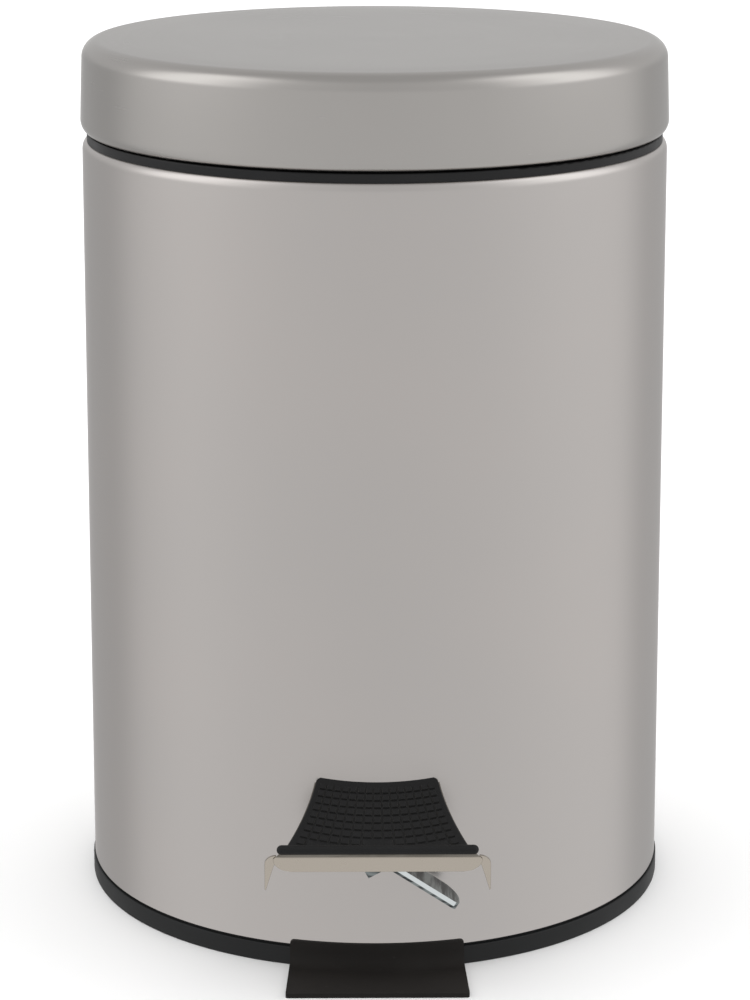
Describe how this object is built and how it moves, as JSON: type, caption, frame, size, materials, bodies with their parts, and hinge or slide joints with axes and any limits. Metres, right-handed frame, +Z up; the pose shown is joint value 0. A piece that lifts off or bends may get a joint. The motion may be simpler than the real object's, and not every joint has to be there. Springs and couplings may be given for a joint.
{
  "type": "pedal bin",
  "caption": "Small round pedal bin: stainless cylinder with a flat hinged lid, black base and foot, rubber-padded pedal, lever and rod linkage, and a lift-out bucket.",
  "frame": {"origin": "on the cylinder's axis, on the floor that the bin stands on", "axes": "+Z up along the cylinder's axis, -Y towards the pedal and the user, +Y towards the lid hinge, +X to the right as seen from the pedal"},
  "size_m": [0.1698, 0.1994, 0.25],
  "materials": {
    "body_steel": "satin stainless sheet",
    "lid_steel": "satin stainless sheet, slightly warmer than the body",
    "pedal_steel": "polished stainless sheet",
    "zinc_steel": "bright zinc plate",
    "hinge_steel": "satin stainless strip",
    "rivet_steel": "rivet heads",
    "wire_steel": "bright wire",
    "base_plastic": "dull black moulding",
    "foot_plastic": "dull brown-black moulding",
    "ring_plastic": "black moulding, slight gloss",
    "bucket_plastic": "dark grey moulding",
    "guide_nylon": "natural nylon",
    "pad_rubber": "black rubber"
  },
  "bodies": {
    "body": {"base_tray": "base_plastic", "front_foot": "foot_plastic", "body_shell": "body_steel", "rim_ring": "ring_plastic", "inner_bucket": "bucket_plastic", "pivot_bracket": "zinc_steel", "bracket_screws": "zinc_steel", "pivot_pin": "zinc_steel", "pivot_pin_clip": "zinc_steel", "rod_guides": "guide_nylon", "guide_rivets": "rivet_steel", "body_hinge_bracket": "hinge_steel", "body_hinge_rivets": "rivet_steel", "hinge_pin": "hinge_steel", "hinge_pin_clip": "hinge_steel"},
    "pedal": {"pedal_lever": "zinc_steel", "pedal_plate": "pedal_steel", "pedal_pad": "pad_rubber", "pedal_stop": "zinc_steel", "pedal_rivets": "rivet_steel"},
    "rod": {"push_rod": "wire_steel", "rod_end_caps": "zinc_steel"},
    "lid": {"lid_shell": "lid_steel", "lid_hinge_arm": "hinge_steel", "lid_hinge_rivets": "rivet_steel"},
    "handle": {"bucket_handle": "wire_steel"}
  },
  "joints": [
    {"name": "pedal_press", "type": "hinge", "parent": "body", "child": "pedal", "pos_m": [0, 0.007, 0.03], "axis": [1, 0, 0], "range_deg": [0, 11.06]},
    {"name": "rod_lift", "type": "slide", "parent": "body", "child": "rod", "axis": [0, 0, 1], "range_m": [0, 0.01401]},
    {"name": "lid_open", "type": "hinge", "parent": "body", "child": "lid", "pos_m": [0, 0.08947, 0.22], "axis": [-1, 0, 0], "range_deg": [0, 70.05]},
    {"name": "handle_swing", "type": "hinge", "parent": "body", "child": "handle", "pos_m": [0, 0.002, 0.2252], "axis": [-1, 0, 0], "range_deg": [0, 14]}
  ],
  "couplings": [
    {"joint": "rod_lift", "follows": "pedal_press", "m_per_rad": 0.072548},
    {"joint": "lid_open", "follows": "pedal_press", "ratio": 6.3291}
  ]
}
